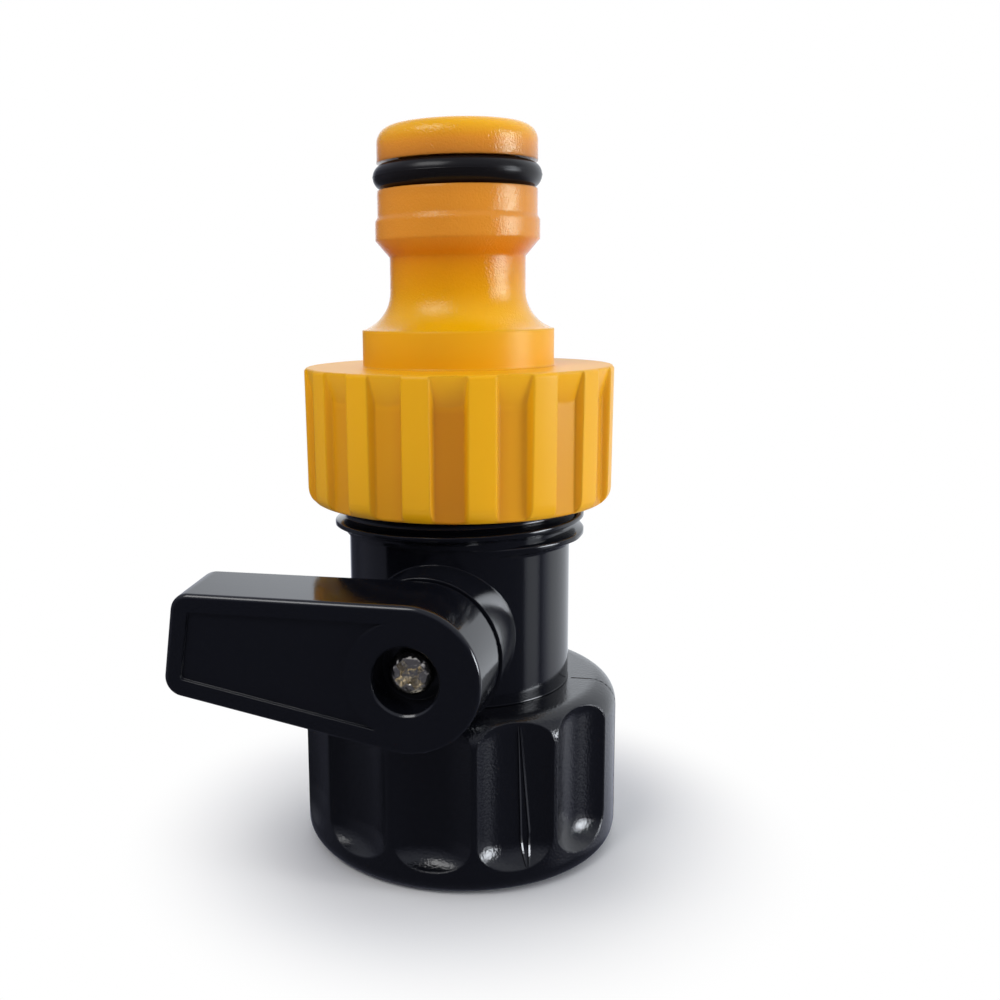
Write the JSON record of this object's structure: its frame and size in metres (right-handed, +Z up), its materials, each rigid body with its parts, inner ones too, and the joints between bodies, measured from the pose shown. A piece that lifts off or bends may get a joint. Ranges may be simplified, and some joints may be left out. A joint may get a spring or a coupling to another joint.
{
  "type": "rain barrel faucet",
  "caption": "Plastic quarter-turn ball valve with a threaded swivel nut below, a side lever, and a ribbed hose adapter with a sealed push-on nipple above.",
  "frame": {"origin": "middle of the swivel nut's open end, on the plane of its rim", "axes": "+Z runs up the water way to the nipple's tip, -Y points along the lever's shaft to the screw, -X along the lever's arm when the valve is closed"},
  "size_m": [0.0404, 0.0413, 0.075],
  "materials": {
    "black_plastic": "glossy moulded",
    "yellow_plastic": "glossy with a fine spark texture",
    "black_rubber": "satin",
    "seat_plastic": "waxy white",
    "ball_plastic": "polished",
    "steel": "zinc plated"
  },
  "bodies": {
    "valve": {"valve_body": "black_plastic", "inlet_tailpiece": "black_plastic", "tailpiece_ring": "black_rubber", "inlet_washer": "black_rubber", "lower_seat": "seat_plastic", "lower_seat_cushion": "black_rubber", "upper_seat": "seat_plastic", "upper_seat_cushion": "black_rubber", "slip_washer": "seat_plastic"},
    "nut": {"swivel_nut": "black_plastic"},
    "lever": {"lever": "black_plastic", "lever_screw": "steel", "shaft": "black_plastic", "shaft_ring_inner": "black_rubber", "shaft_ring_outer": "black_rubber", "valve_ball": "ball_plastic"},
    "adapter_seal": {"adapter_washer": "black_rubber"},
    "adapter": {"hose_adapter": "yellow_plastic", "nipple_ring": "black_rubber"}
  },
  "joints": [
    {"name": "lever_turn", "type": "hinge", "parent": "valve", "child": "lever", "pos_m": [0, 0, 0.0246], "axis": [0, 1, 0], "range_deg": [0, 90]},
    {"name": "nut_swivel", "type": "hinge", "parent": "valve", "child": "nut", "pos_m": [0, 0, 0.008], "axis": [0, 0, 1], "continuous": true},
    {"name": "adapter_lift", "type": "slide", "parent": "valve", "child": "adapter_seal", "axis": [0, 0, 1], "range_m": [0, 0.00912]},
    {"name": "adapter_turn", "type": "hinge", "parent": "adapter_seal", "child": "adapter", "pos_m": [0, 0, 0.048], "axis": [0, 0, 1], "range_deg": [0, 1800]}
  ],
  "couplings": [
    {"joint": "adapter_lift", "follows": "adapter_turn", "m_per_rad": 0.00028871}
  ]
}
